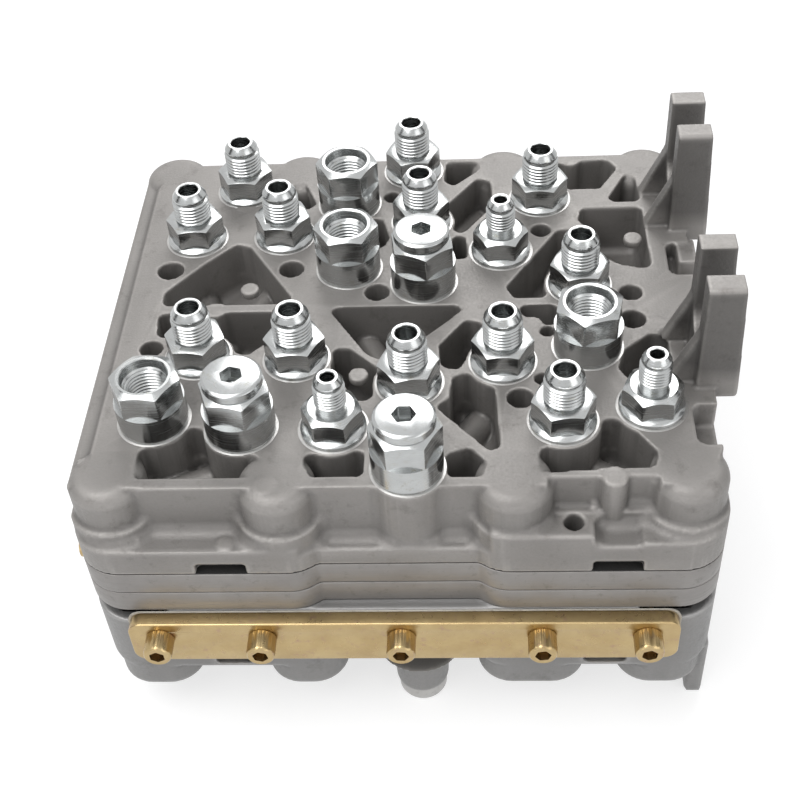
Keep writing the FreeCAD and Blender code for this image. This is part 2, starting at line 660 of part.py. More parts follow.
def corner_reliefs():
    """Cuts that set the top corners of the lower body back under the lower plate."""
    y_range = (FRONT_Y - OVERCUT, FRONT_Y + RELIEF_DEPTH)
    z_range = (LOWER_BODY_TOP - RELIEF_H, LOWER_BODY_TOP + OVERCUT)
    reliefs = []
    for side in (-1, 1):
        outer = BODY_MID_X + side * (FLANGE_HALF_X + OVERCUT)
        inner = BODY_MID_X + side * (FLANGE_HALF_X - RELIEF_L)
        reliefs.append(box((min(outer, inner), max(outer, inner)), y_range, z_range))
    return reliefs + [front_to_rear(relief) for relief in reliefs]


def underside_pockets():
    """Weight-saving pockets in the underside, left standing around each port boss."""
    keep_out = [plan_disc(place, PORT_BOSS_R) for place in LOWER_PORTS]
    z_range = (LOWER_BODY_BOTTOM - OVERCUT, LOWER_BODY_BOTTOM + UNDER_POCKET_DEPTH)
    pockets = []
    for x_range in UNDER_POCKET_X:
        for y_range in UNDER_POCKET_Y:
            pieces = plan_rectangle(x_range, y_range).cut(keep_out).Faces
            remaining = max(pieces, key=lambda piece: piece.Area)
            for face in round_outward(remaining, POCKET_CORNER_R).Faces:
                pockets.append(prism(face, z_range[0], z_range[1]))
    return pockets


def legs():
    """The two legs that stand down under the right side of the lower body, against its end bosses."""
    front_y = FRONT_Y + LEG_SETBACK
    leg = box(LEG_X, (front_y, front_y + LEG_W), (FLOOR_Z, LOWER_BODY_BOTTOM))
    uprights = [edge for edge in leg.Edges if edge_runs_along(edge, Z_AXIS)]
    leg = leg.makeFillet(LEG_EDGE_R, uprights)
    leg = leg.cut(lower_boss(LOWER_BOSSES[-1], FRONT_BOLTS[-1]))
    return [leg, front_to_rear(leg)]


def drain_spigot():
    """The drain tube pressed into the underside; a hose slips over its lower end."""
    tip = FLOOR_Z + SPIGOT_CLEAR
    profile = [
        (SPIGOT_BORE_R, tip), (SPIGOT_R, tip), (SPIGOT_R, LOWER_BODY_BOTTOM),
        (SPIGOT_SHANK_R, LOWER_BODY_BOTTOM), (SPIGOT_SHANK_R, LOWER_BODY_BOTTOM + SPIGOT_SHANK_L),
        (SPIGOT_BORE_R, LOWER_BODY_BOTTOM + SPIGOT_SHANK_L),
    ]
    tube = turned(profile)
    tube.translate(V(SPIGOT_POS[0], SPIGOT_POS[1], 0))
    return tube


def spool_bore(offset_x):
    x = BODY_MID_X + offset_x
    open_y = FRONT_Y - OVERCUT
    plug_back = FRONT_Y + PLUG_L
    bore = rod(x, SPOOL_Z, SPOOL_BORE_R, open_y, FRONT_Y + SPOOL_BORE_DEPTH)
    mouth = rod(x, SPOOL_Z, PLUG_R + PLUG_GAP, open_y, plug_back)
    gallery_top = LOWER_BODY_TOP + OVERCUT
    gallery_ys = [plug_back + reach for reach in GALLERY_FROM_PLUG]
    galleries = [post((x, y), GALLERY_R, SPOOL_Z, gallery_top) for y in gallery_ys]
    return [bore, mouth] + galleries


def lower_body():
    solid = prism(FLANGE, LOWER_BODY_BOTTOM, LOWER_BODY_TOP)
    bosses = [lower_boss(x_range, bolt) for x_range, bolt in zip(LOWER_BOSSES, FRONT_BOLTS)]
    bosses += [front_to_rear(boss) for boss in bosses]
    boss_bottom = LOWER_BODY_BOTTOM - LOWER_PORT_BOSS_H
    inside_z = LOWER_BODY_BOTTOM + OVERCUT
    bosses += [post(place, PORT_BOSS_R, boss_bottom, inside_z) for place in LOWER_PORTS]
    pad_x = (BODY_MID_X - COVER_HALF_X, BODY_MID_X + COVER_HALF_X)
    cover_pad = box(pad_x, (FRONT_Y, FRONT_Y + COVER_PAD_DEPTH), (COVER_TOP_Z - COVER_H, COVER_TOP_Z))
    solid = solid.fuse(bosses + [cover_pad]).removeSplitter()
    cuts = corner_reliefs() + underside_pockets()
    for offset_x in SPOOL_X:
        cuts += spool_bore(offset_x)
    slot_low = LOWER_BODY_BOTTOM + FRONT_SLOT_RISE
    slot_y = (FRONT_Y - OVERCUT, FRONT_Y + FRONT_SLOT_DEPTH)
    cuts += [box(x_range, slot_y, (slot_low, slot_low + FRONT_SLOT_H)) for x_range in FRONT_SLOT_X]
    hole_low = BOLT_SEAT_Z - OVERCUT
    hole_high = LOWER_BODY_TOP + OVERCUT
    cuts += [post(place, BOLT_R + BOLT_CLEARANCE, hole_low, hole_high) for place in BOLT_PLACES]
    thread_r = SCREW_R + SCREW_THREAD_GAP
    thread_end = COVER_FRONT_Y + SCREW_L + OVERCUT
    cuts += [rod(BODY_MID_X + x, SCREW_Z, thread_r, FRONT_Y - OVERCUT, thread_end) for x in SCREW_X]
    stem_top = boss_bottom + PORT_STEM_L + OVERCUT
    stem_r = PORT_STEM_R + PORT_FIT_GAP
    cuts += [post(place, stem_r, boss_bottom - OVERCUT, stem_top) for place in LOWER_PORTS]
    shank_top = LOWER_BODY_BOTTOM + SPIGOT_SHANK_L
    shank_hole_r = SPIGOT_SHANK_R + SPIGOT_FIT_GAP
    cuts.append(post(SPIGOT_POS, shank_hole_r, LOWER_BODY_BOTTOM - OVERCUT, shank_top))
    return solid.cut(cuts).removeSplitter()


def spool():
    """A spool along +y, its front face at y = 0: lands with grooves and a nose inside the spring."""
    radius = SPOOL_BORE_R - SPOOL_RUNNING_GAP
    profile = [(0, 0), (radius, 0)]
    for start, length in SPOOL_GROOVES:
        profile += [
            (radius, start),
            (SPOOL_GROOVE_R, start),
            (SPOOL_GROOVE_R, start + length),
            (radius, start + length),
        ]
    profile += [
        (radius, SPOOL_BODY_L),
        (SPOOL_NOSE_R, SPOOL_BODY_L),
        (SPOOL_NOSE_R, SPOOL_BODY_L + SPOOL_NOSE_L),
        (0, SPOOL_BODY_L + SPOOL_NOSE_L),
    ]
    piece = turned(profile)
    piece.rotate(V(0, 0, 0), X_AXIS, -90)
    return piece


def spring_section(turn_angle, height):
    """Corners of the square wire's section at one step of the coil."""
    half = SPRING_WIRE / 2
    corners = []
    for out, up in ((-half, -half), (half, -half), (half, half), (-half, half)):
        reach = SPRING_MEAN_R + out
        corners.append(V(reach * math.cos(turn_angle), reach * math.sin(turn_angle), height + up))
    return corners


def spring(length):
    """A return spring along +y, of square wire bent in short straight steps."""
    steps = SPRING_TURNS * SPRING_STEPS_PER_TURN
    rise = (length - SPRING_WIRE) / steps
    rings = [
        spring_section(2 * math.pi * step / SPRING_STEPS_PER_TURN, SPRING_WIRE / 2 + rise * step)
        for step in range(steps + 1)
    ]
    faces = [Part.Face(Part.makePolygon(rings[0] + rings[0][:1]))]
    faces.append(Part.Face(Part.makePolygon(rings[-1] + rings[-1][:1])))
    for lower, upper in zip(rings, rings[1:]):
        for side in range(4):
            after = (side + 1) % 4
            first = [lower[side], lower[after], upper[after]]
            second = [lower[side], upper[after], upper[side]]
            faces += [Part.Face(Part.makePolygon(three + three[:1])) for three in (first, second)]
    coil = Part.Solid(Part.Shell(faces))
    coil.rotate(V(0, 0, 0), X_AXIS, -90)
    return coil


def spool_plug():
    """A bore plug along +y with a groove for its ring."""
    groove_r = PLUG_R - PLUG_RING_DEPTH
    groove_end = PLUG_RING_INSET + PLUG_RING_L
    profile = [
        (0, 0), (PLUG_R, 0), (PLUG_R, PLUG_RING_INSET), (groove_r, PLUG_RING_INSET),
        (groove_r, groove_end), (PLUG_R, groove_end), (PLUG_R, PLUG_L), (0, PLUG_L),
    ]
    piece = turned(profile)
    piece.rotate(V(0, 0, 0), X_AXIS, -90)
    return piece


def plug_ring():
    inner = PLUG_R - PLUG_RING_DEPTH
    profile = [
        (inner, PLUG_RING_INSET), (PLUG_R, PLUG_RING_INSET),
        (PLUG_R, PLUG_RING_INSET + PLUG_RING_L), (inner, PLUG_RING_INSET + PLUG_RING_L),
    ]
    piece = turned(profile)
    piece.rotate(V(0, 0, 0), X_AXIS, -90)
    return piece


def cover_sheet(lap, y_front, y_back):
    """A round-cornered upright sheet over the spool plugs, with holes for its screws."""
    x_range = (BODY_MID_X - COVER_HALF_X - lap, BODY_MID_X + COVER_HALF_X + lap)
    sheet_box = box(x_range, (y_front, y_back), (COVER_TOP_Z - COVER_H, COVER_TOP_Z))
    corners = [edge for edge in sheet_box.Edges if edge_runs_along(edge, Y_AXIS)]
    sheet_box = sheet_box.makeFillet(COVER_CORNER_R, corners)
    holes = [
        rod(BODY_MID_X + x, SCREW_Z, SCREW_R + SCREW_HOLE_GAP, y_front - OVERCUT, y_back + OVERCUT)
        for x in SCREW_X
    ]
    return sheet_box.cut(holes)


def socket_screw(radius, length, head_r, head_h, socket_af, socket_depth):
    """A socket head screw on the z axis, its head standing up from z = 0."""
    head = turned([
        (0, -length), (radius, -length), (radius, 0), (head_r, 0), (head_r, head_h), (0, head_h),
    ])
    return head.cut(hexagon(socket_af, head_h - socket_depth, head_h + OVERCUT))


def cover_screws():
    screw = socket_screw(SCREW_R, SCREW_L, SCREW_HEAD_R, SCREW_HEAD_H, SCREW_SOCKET_AF, SCREW_SOCKET_DEPTH)
    screw.rotate(V(0, 0, 0), X_AXIS, 90)
    screws = []
    for offset_x in SCREW_X:
        copy = screw.copy()
        copy.translate(V(BODY_MID_X + offset_x, COVER_FRONT_Y, SCREW_Z))
        screws.append(copy)
    return screws


def body_bolts():
    length = UPPER_JOINT_Z + BOLT_ENGAGEMENT - BOLT_SEAT_Z
    bolt = socket_screw(BOLT_R, length, BOLT_HEAD_R, BOLT_HEAD_H, BOLT_SOCKET_AF, BOLT_SOCKET_DEPTH)
    bolt.rotate(V(0, 0, 0), X_AXIS, 180)
    return place_copies(bolt, BOLT_PLACES, BOLT_SEAT_Z)


def flare_adapter(collar_r, collar_h, hex_af, hex_top, neck_r, thread_r, thread_z, tip_r, bore_r, height):
    """A male flare adapter standing on z = 0, its stem screwed into the port below."""
    turned_part = turned([
        (bore_r, -PORT_STEM_L), (PORT_STEM_R, -PORT_STEM_L), (PORT_STEM_R, 0), (collar_r, 0),
        (collar_r, collar_h), (neck_r, collar_h), (neck_r, thread_z[0]),
        (thread_r, thread_z[0]), (thread_r, thread_z[1]), (tip_r, height), (bore_r, height),
    ])
    wrench = hexagon(hex_af, collar_h, hex_top)
    wrench = wrench.cut(post((0, 0), neck_r, collar_h - OVERCUT, hex_top + OVERCUT))
    return turned_part.fuse(wrench).removeSplitter()


def large_adapter():
    return flare_adapter(
        LARGE_COLLAR_R, LARGE_COLLAR_H, LARGE_HEX_AF, LARGE_HEX_TOP, LARGE_NECK_R,
        LARGE_THREAD_R, LARGE_THREAD_Z, LARGE_TIP_R, LARGE_BORE_R, LARGE_H,
    )


def small_adapter():
    return flare_adapter(
        SMALL_COLLAR_R, SMALL_COLLAR_H, SMALL_HEX_AF, SMALL_HEX_TOP, SMALL_NECK_R,
        SMALL_THREAD_R, SMALL_THREAD_Z, SMALL_TIP_R, SMALL_BORE_R, SMALL_H,
    )


def female_adapter():
    """A female adapter: a round base below the hexagon, with a threaded mouth."""
    base = turned([
        (0, -PORT_STEM_L), (PORT_STEM_R, -PORT_STEM_L), (PORT_STEM_R, 0),
        (FEMALE_BASE_R, 0), (FEMALE_BASE_R, FEMALE_BASE_H), (0, FEMALE_BASE_H),
    ])
    wrench = hexagon(FEMALE_HEX_AF, FEMALE_BASE_H, FEMALE_H)
    thread_top = FEMALE_H - FEMALE_MOUTH_DEPTH
    mouth = post((0, 0), FEMALE_MOUTH_R, thread_top, FEMALE_H + OVERCUT)
    thread = post((0, 0), FEMALE_THREAD_R, thread_top - FEMALE_THREAD_DEPTH, FEMALE_H)
    passage = post((0, 0), PORT_GALLERY_R, -PORT_STEM_L - OVERCUT, FEMALE_H)
    return base.fuse(wrench).cut([mouth, thread, passage]).removeSplitter()


def closing_plug():
    """A hollow-hex plug that closes a female adapter, its head standing on z = 0."""
    shank_r = FEMALE_THREAD_R - CLOSING_SHANK_GAP
    neck_low = CLOSING_SEAT_GAP - FEMALE_MOUTH_DEPTH
    piece = turned([
        (0, -CLOSING_SHANK_L), (shank_r, -CLOSING_SHANK_L), (shank_r, neck_low),
        (CLOSING_NECK_R, neck_low), (CLOSING_NECK_R, 0),
        (CLOSING_HEAD_R, 0), (CLOSING_HEAD_R, CLOSING_HEAD_H), (0, CLOSING_HEAD_H),
    ])
    socket_floor = CLOSING_HEAD_H - CLOSING_SOCKET_DEPTH
    return piece.cut(hexagon(CLOSING_SOCKET_AF, socket_floor, CLOSING_HEAD_H + OVERCUT))


def side_plug():
    """The screw plug that closes a cross drilling in the left end of the upper plate."""
    piece = socket_screw(
        SIDE_PLUG_R, SIDE_PLUG_L, SIDE_PLUG_HEAD_R, SIDE_PLUG_HEAD_H,
        SIDE_PLUG_SOCKET_AF, SIDE_PLUG_SOCKET_DEPTH,
    )
    piece.rotate(V(0, 0, 0), Y_AXIS, -90)
    piece.translate(V(LEFT_X, SIDE_PLUG_Y, UPPER_PLATE_MID_Z))
    return piece


def build_castings():
    save("upper_body", [upper_body()])
    save("mounting_brackets", brackets())
    save("upper_plate", [upper_plate()])
    save("lower_plate", [lower_plate()])
    save("lower_body", [lower_body()])
    save("support_legs", legs())
    save("drain_spigot", [drain_spigot()])
    save("upper_gasket", [gasket(UPPER_JOINT_Z)])
    save("middle_gasket", [gasket(UPPER_PLATE_BOTTOM)])
    save("lower_gasket", [gasket(LOWER_PLATE_BOTTOM)])
    save("body_bolts", body_bolts())
    save("side_plug", [side_plug()])


def build_adapters():
    female = female_adapter()
    save("large_flare_adapters", place_copies(large_adapter(), LARGE_PORTS, 0, HEX_TURN_STEP))
    save("small_flare_adapters", place_copies(small_adapter(), SMALL_PORTS, 0, HEX_TURN_STEP))
    save("female_adapters", place_copies(female, OPEN_PORTS + PLUGGED_PORTS, 0, HEX_TURN_STEP))
    save("closing_plugs", place_copies(closing_plug(), PLUGGED_PORTS, FEMALE_H, HEX_TURN_STEP))
    underside = large_adapter()
    underside.rotate(V(0, 0, 0), X_AXIS, 180)
    seat = LOWER_BODY_BOTTOM - LOWER_PORT_BOSS_H
    save("underside_adapters", place_copies(underside, LOWER_PORTS, seat, HEX_TURN_STEP))


def build_spools():
    plugs = []
    rings = []
    for number, offset_x in enumerate(SPOOL_X, start=1):
        x = BODY_MID_X + offset_x
        plug_back = FRONT_Y + PLUG_L
        spool_front = plug_back + SPOOL_REST_GAP
        spring_front = spool_front + SPOOL_BODY_L + SPOOL_REST_GAP
        spring_length = FRONT_Y + SPOOL_BORE_DEPTH - SPOOL_REST_GAP - spring_front
        sliding = spool()
        sliding.translate(V(x, spool_front, SPOOL_Z))
        save("spool_%d" % number, [sliding])
        coil = spring(spring_length)
        coil.translate(V(x, spring_front, SPOOL_Z))
        save("spool_spring_%d" % number, [coil])
        for pieces, make in ((plugs, spool_plug), (rings, plug_ring)):
            piece = make()
            piece.translate(V(x, FRONT_Y, SPOOL_Z))
            pieces.append(piece)
    save("spool_plugs", plugs)
    save("plug_rings", rings)


def build_cover():
    save("front_cover", [cover_sheet(0, COVER_FRONT_Y, COVER_BACK_Y)])
    save("cover_gasket", [cover_sheet(COVER_GASKET_LAP, COVER_BACK_Y, FRONT_Y)])
    save("cover_screws", cover_screws())


def build_shuttles():
    seat = LOWER_PLATE_TOP - SHUTTLE_POCKET_DEPTH
    for number, place in enumerate(SHUTTLES, start=1):
        piece = shuttle()
        piece.translate(V(place[0], place[1], seat))
        save("shuttle_%d" % number, [piece])


os.makedirs(OUTPUT, exist_ok=True)
build_castings()
build_adapters()
build_spools()
build_cover()
build_shuttles()
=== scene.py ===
import bpy
import json
import math
from mathutils import Euler, Matrix, Vector


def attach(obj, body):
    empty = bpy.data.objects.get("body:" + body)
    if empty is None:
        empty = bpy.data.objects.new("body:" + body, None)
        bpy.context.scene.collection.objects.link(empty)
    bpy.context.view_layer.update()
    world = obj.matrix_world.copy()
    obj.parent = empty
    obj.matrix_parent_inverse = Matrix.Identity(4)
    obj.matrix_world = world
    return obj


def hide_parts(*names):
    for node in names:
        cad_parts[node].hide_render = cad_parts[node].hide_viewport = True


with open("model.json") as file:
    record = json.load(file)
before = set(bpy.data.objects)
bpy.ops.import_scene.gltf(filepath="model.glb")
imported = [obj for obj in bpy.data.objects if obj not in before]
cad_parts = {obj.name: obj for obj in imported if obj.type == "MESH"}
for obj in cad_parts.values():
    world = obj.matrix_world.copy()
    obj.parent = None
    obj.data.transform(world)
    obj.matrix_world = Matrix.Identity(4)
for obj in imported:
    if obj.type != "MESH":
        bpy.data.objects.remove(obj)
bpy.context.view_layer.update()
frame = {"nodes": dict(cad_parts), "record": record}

MM = 0.001
NODES = frame["nodes"]
MOUNTS = {m["name"]: m for m in frame["record"]["mounts"]}
# Heights in the part's frame, in millimetres
TOP_FACE = 117.8
UNDER_SEAT = 23.6
# The place of the casting's drawing datum in the part's frame, in millimetres
DATUM = (16.9, -8.5)
# A piece stays under 200,000 triangles
UPPER_SKIN_LIMIT = 198000
LOWER_SKIN_LIMIT = 180000

# Camera: the place, turn and lens worked out from the edges of the castings in the photograph
camera_data = bpy.data.cameras.new("camera")
camera_data.lens = 60.81
camera_data.sensor_width = 36.0
camera_data.clip_start = 0.01
camera = bpy.data.objects.new("camera", camera_data)
camera.location = (0.02727, -0.36765, 0.44691)
camera.rotation_euler = Euler([math.radians(a) for a in (44.593, 3.125, 1.832)])
bpy.context.scene.collection.objects.link(camera)
bpy.context.scene.camera = camera


# Colour and node helpers

def colour(code):
    """An sRGB hex colour as the linear value that Blender works in."""
    parts = [int(code[i:i + 2], 16) / 255 for i in (1, 3, 5)]
    return [p / 12.92 if p <= 0.04045 else ((p + 0.055) / 1.055) ** 2.4 for p in parts] + [1.0]


def add_node(tree, kind, inputs=None, **settings):
    """Adds a node; an input is a plain value or another node's output."""
    made = tree.nodes.new(kind)
    for name, value in settings.items():
        setattr(made, name, value)
    for name, value in (inputs or {}).items():
        if isinstance(value, bpy.types.NodeSocket):
            tree.links.new(value, made.inputs[name])
        else:
            made.inputs[name].default_value = value
    return made


def new_material(name):
    made = bpy.data.materials.new(name)
    made.use_nodes = True
    made.node_tree.nodes.clear()
    return made, made.node_tree


def casting_painted_light(tree, place, tint):
    """Painted shade in inner corners, painted highlights on outer edges, and painted shade on upright faces
    above the top face.
    """
    shape = add_node(tree, "ShaderNodeNewGeometry")
    # Painted shade in inner corners and painted highlights on outer edges, read from the mesh's pointiness
    corners = add_node(tree, "ShaderNodeMapRange", {
        "Value": shape.outputs["Pointiness"], "From Min": 0.465, "From Max": 0.535,
        "To Min": 0.5, "To Max": 1.35})
    height = add_node(tree, "ShaderNodeSeparateXYZ", {"Vector": place})
    # Painted shade: upright faces above the top face are made darker
    raised = add_node(tree, "ShaderNodeMapRange", {
        "Value": height.outputs["Z"], "From Min": (TOP_FACE + 2) * MM,
        "From Max": (TOP_FACE + 9) * MM, "To Min": 0.0, "To Max": 0.5})
    facing = add_node(tree, "ShaderNodeSeparateXYZ", {"Vector": shape.outputs["Normal"]})
    upright_share = add_node(tree, "ShaderNodeMapRange", {
        "Value": facing.outputs["Z"], "From Min": 0.2, "From Max": 0.8, "To Min": 1.0, "To Max": 0.0})
    upright_painted_shade = add_node(tree, "ShaderNodeMath", {
        0: raised.outputs["Result"], 1: upright_share.outputs["Result"]}, operation="MULTIPLY")
    kept = add_node(tree, "ShaderNodeMath", {0: 1.0, 1: upright_painted_shade.outputs[0]}, operation="SUBTRACT")
    shade = add_node(tree, "ShaderNodeMath", {
        0: corners.outputs["Result"], 1: kept.outputs[0]}, operation="MULTIPLY")
    return add_node(tree, "ShaderNodeMix", {
        "Factor": 1.0, "A": tint.outputs["Result"], "B": shade.outputs[0]},
        data_type="RGBA", blend_type="MULTIPLY")


def worn_metal(name, dark, light, stain, patch_mm, grain_mm, bump_mm, rough, metallic,
               marks=(1.0, 1.0, 1.0), cast=False):
    """A material whose colour drifts in patches, with a fine grain in its height and its gloss.

    marks stretches the grain into strokes along an axis, and cast adds painted shade in a casting's inner
    corners and on its upright faces above the top face, with painted highlights on its outer edges.
    """
    made, tree = new_material(name)
    place = add_node(tree, "ShaderNodeTexCoord").outputs["Object"]
    patches = add_node(tree, "ShaderNodeTexNoise", {
        "Vector": place, "Scale": 1 / (patch_mm * MM), "Detail": 4.0, "Roughness": 0.6})
    tint = add_node(tree, "ShaderNodeMix", {
        "Factor": patches.outputs["Fac"], "A": colour(dark), "B": colour(light)}, data_type="RGBA")
    spots = add_node(tree, "ShaderNodeTexNoise", {
        "Vector": place, "Scale": 1 / (patch_mm * 0.35 * MM), "Detail": 6.0, "Roughness": 0.7})
    spot_share = add_node(tree, "ShaderNodeMapRange", {
        "Value": spots.outputs["Fac"], "From Min": 0.56, "From Max": 0.72, "To Min": 0.0, "To Max": 0.7})
    stains_and_painted_light = add_node(tree, "ShaderNodeMix", {
        "Factor": spot_share.outputs["Result"], "A": tint.outputs["Result"], "B": colour(stain)},
        data_type="RGBA")
    stretch = add_node(tree, "ShaderNodeMapping", {"Vector": place, "Scale": marks})
    grain = add_node(tree, "ShaderNodeTexNoise", {
        "Vector": stretch.outputs["Vector"], "Scale": 1 / (grain_mm * MM), "Detail": 3.0, "Roughness": 0.55})
    gloss = add_node(tree, "ShaderNodeMapRange", {
        "Value": grain.outputs["Fac"], "From Min": 0.3, "From Max": 0.7,
        "To Min": rough[0], "To Max": rough[1]})
    relief = add_node(tree, "ShaderNodeBump", {
        "Height": grain.outputs["Fac"], "Distance": bump_mm * MM, "Strength": 1.0})
    # With cast: painted shade in inner corners and on upright faces above the top face, painted highlights
    # on outer edges
    if cast:
        stains_and_painted_light = casting_painted_light(tree, place, stains_and_painted_light)
    shader = add_node(tree, "ShaderNodeBsdfPrincipled", {
        "Base Color": stains_and_painted_light.outputs["Result"], "Metallic": metallic,
        "Roughness": gloss.outputs["Result"], "Normal": relief.outputs["Normal"]})
    add_node(tree, "ShaderNodeOutputMaterial", {"Surface": shader.outputs["BSDF"]})
    return made


# Materials
MATERIALS = {
    # Die-cast aluminium, shot-blasted: an even warm grey with a fine pebbled skin and faint oil stains, with
    # painted shade in inner corners and on upright faces above the top face, and painted highlights on outer
    # edges
    "cast_body": worn_metal("blasted_cast_aluminium", "#7e7b78", "#918e8b", "#6c6865",
                            28, 0.9, 0.10, (0.42, 0.60), 0.35, cast=True),
    # The lower casting kept its smoother die skin: a cooler grey with a softer sheen, with painted shade in
    # inner corners and on upright faces above the top face, and painted highlights on outer edges
    "cast_lower": worn_metal("die_skin_cast_aluminium", "#7b7a79", "#8f8e8d", "#686664",
                             34, 1.1, 0.06, (0.36, 0.52), 0.4, cast=True),
    # The plates' edges were milled along their length: the same grey, with faint level strokes
    "plate_edges": worn_metal("milled_cast_aluminium", "#7b7876", "#93908d", "#696663",
                              12, 2.2, 0.05, (0.36, 0.54), 0.4, (0.12, 0.12, 4.0)),
    # Machined aluminium: bright cut faces where the adapters seat
    "spotface": worn_metal("machined_aluminium", "#a9a7a5", "#c4c3c1", "#8f8c89",
                           9, 0.35, 0.02, (0.28, 0.42), 0.8),
    # Turned steel with bright zinc plating: mirror-like, with fine turning marks round the axis
    "bright_zinc": worn_metal("bright_zinc_on_turned_steel", "#a6a8a8", "#c0c2c2", "#a3a196",
                              7, 4.0, 0.012, (0.17, 0.30), 1.0, (0.1, 0.1, 12.0)),
    # Steel with yellow passivated zinc: gold with rosy and straw drifts
    "yellow_zinc": worn_metal("yellow_zinc_on_steel", "#a18860", "#c4b084", "#a68878",
                              10, 2.0, 0.006, (0.26, 0.36), 1.0),
    # Steel bolts blacked in a hot bath: near-black, with a low satin gloss
    "bolt_steel": worn_metal("black_oxide_steel", "#3a3836", "#55524f", "#2b2624",
                             9, 0.6, 0.03, (0.34, 0.5), 0.9),
    # Spools and poppets ground after turning: bright, with fine marks across their length
    "turned_steel": worn_metal("ground_steel", "#a3a5a8", "#bcbec0", "#8c8b89",
                               12, 0.3, 0.01, (0.16, 0.3), 1.0, (1.0, 8.0, 1.0)),
    # Drawn spring wire, tempered in oil: dark grey and slightly glossy
    "spring_steel": worn_metal("oil_tempered_wire", "#4c4a49", "#686665", "#37322f",
                               6, 0.5, 0.02, (0.28, 0.42), 1.0),
    # Gasket sheet: matt black fibre, slightly rough
    "gasket": worn_metal("black_gasket_sheet", "#161616", "#242322", "#0f0f0f",
                         8, 0.6, 0.08, (0.7, 0.9), 0.0),
    # Sealing sheet pressed out a little at the cover's edge: chalky, off-white
    "sealant": worn_metal("pale_sealing_sheet", "#a9a49a", "#c9c5bb", "#8d8678",
                          6, 0.8, 0.15, (0.55, 0.75), 0.0),
    # Moulded nitrile rubber: black and dull
    "rubber": worn_metal("nitrile_rubber", "#121212", "#1e1d1d", "#0c0c0c",
                         6, 0.5, 0.02, (0.5, 0.7), 0.0),
}


# Modelling helpers

def deselect():
    if bpy.context.object and bpy.context.object.mode != "OBJECT":
        bpy.ops.object.mode_set(mode="OBJECT")
    bpy.ops.object.select_all(action="DESELECT")


def choose(obj):
    deselect()
    obj.select_set(True)
    bpy.context.view_layer.objects.active = obj


def settle(obj):
    """Puts the object's place and turn into its mesh, so that it sits at the origin."""
    choose(obj)
    bpy.ops.object.transform_apply(location=True, rotation=True, scale=True)


def apply_modifier(obj, kind, **settings):
    choose(obj)
    modifier = obj.modifiers.new(kind.lower(), kind)
    for name, value in settings.items():
        setattr(modifier, name, value)
    bpy.ops.object.modifier_apply(modifier=modifier.name)


def recalculate_normals(obj):
    choose(obj)
    bpy.ops.object.mode_set(mode="EDIT")
    bpy.ops.mesh.select_all(action="SELECT")
    bpy.ops.mesh.remove_doubles(threshold=0.004 * MM)
    bpy.ops.mesh.normals_make_consistent(inside=False)
    bpy.ops.object.mode_set(mode="OBJECT")


def turned(name, profile, steps=56):
    """A closed turned piece: a ring is drawn at the first point and extruded along the profile."""
    deselect()
    start_r, start_z = profile[0]
    bpy.ops.mesh.primitive_circle_add(vertices=steps, radius=start_r * MM, location=(0, 0, start_z * MM))
    obj = bpy.context.object
    obj.name = name
    bpy.ops.object.mode_set(mode="EDIT")
    bpy.ops.mesh.select_all(action="SELECT")
    for (r_before, z_before), (r, z) in zip(profile, profile[1:] + profile[:1]):
        bpy.ops.mesh.extrude_edges_move(TRANSFORM_OT_translate={"value": (0, 0, (z - z_before) * MM)})
        bpy.ops.transform.resize(value=(r / r_before, r / r_before, 1), center_override=(0, 0, 0))
    bpy.ops.object.mode_set(mode="OBJECT")
    settle(obj)
    recalculate_normals(obj)
    return obj


def close_poles(obj):
    """Fills the small hole left on the axis at each end of a solid turned piece."""
    choose(obj)
    bpy.ops.object.mode_set(mode="EDIT")
    bpy.ops.mesh.select_mode(type="VERT")
    bpy.ops.mesh.select_all(action="DESELECT")
    bpy.ops.object.mode_set(mode="OBJECT")
    for vertex in obj.data.vertices:
        vertex.select = math.hypot(vertex.co.x, vertex.co.y) < 0.35 * MM
    bpy.ops.object.mode_set(mode="EDIT")
    bpy.ops.mesh.delete(type="EDGE_FACE")
    bpy.ops.mesh.select_all(action="SELECT")
    bpy.ops.mesh.fill_holes(sides=0)
    bpy.ops.mesh.normals_make_consistent(inside=False)
    bpy.ops.object.mode_set(mode="OBJECT")


def hexagon(name, across_flats, z_low, z_high):
    """A hexagonal prism with slightly rounded upright edges."""
    deselect()
    bpy.ops.mesh.primitive_cylinder_add(
        vertices=6, radius=across_flats / 2 / math.cos(math.radians(30)) * MM,
        depth=(z_high - z_low) * MM, location=(0, 0, (z_low + z_high) / 2 * MM))
    obj = bpy.context.object
    obj.name = name
    settle(obj)
    bpy.ops.object.mode_set(mode="EDIT")
    bpy.ops.mesh.select_all(action="DESELECT")
    bpy.ops.object.mode_set(mode="OBJECT")
    for edge in obj.data.edges:
        ends = [obj.data.vertices[v].co for v in edge.vertices]
        edge.select = abs(ends[0].z - ends[1].z) > 0.1 * MM
    bpy.ops.object.mode_set(mode="EDIT")
    bpy.ops.mesh.select_mode(type="EDGE")
    bpy.ops.mesh.bevel(offset=0.35 * MM, segments=2, affect="EDGES")
    bpy.ops.object.mode_set(mode="OBJECT")
    return obj


def combine(obj, other, operation):
    """Joins or cuts two closed pieces and removes the second."""
    apply_modifier(obj, "BOOLEAN", operation=operation, solver="EXACT", object=other)
    bpy.data.objects.remove(other)
    return obj


def copy_of(obj, name, place, turn=0.0, flip=False):
    """A copy with its own mesh, turned about z, flipped over if asked, and put at a place in millimetres."""
    mesh = obj.data.copy()
    if flip:
        mesh.transform(Matrix.Rotation(math.pi, 4, "X"))
    mesh.transform(Matrix.Rotation(math.radians(turn), 4, "Z"))
    mesh.transform(Matrix.Translation(Vector(place) * MM))
    made = bpy.data.objects.new(name, mesh)
    bpy.context.scene.collection.objects.link(made)
    return made


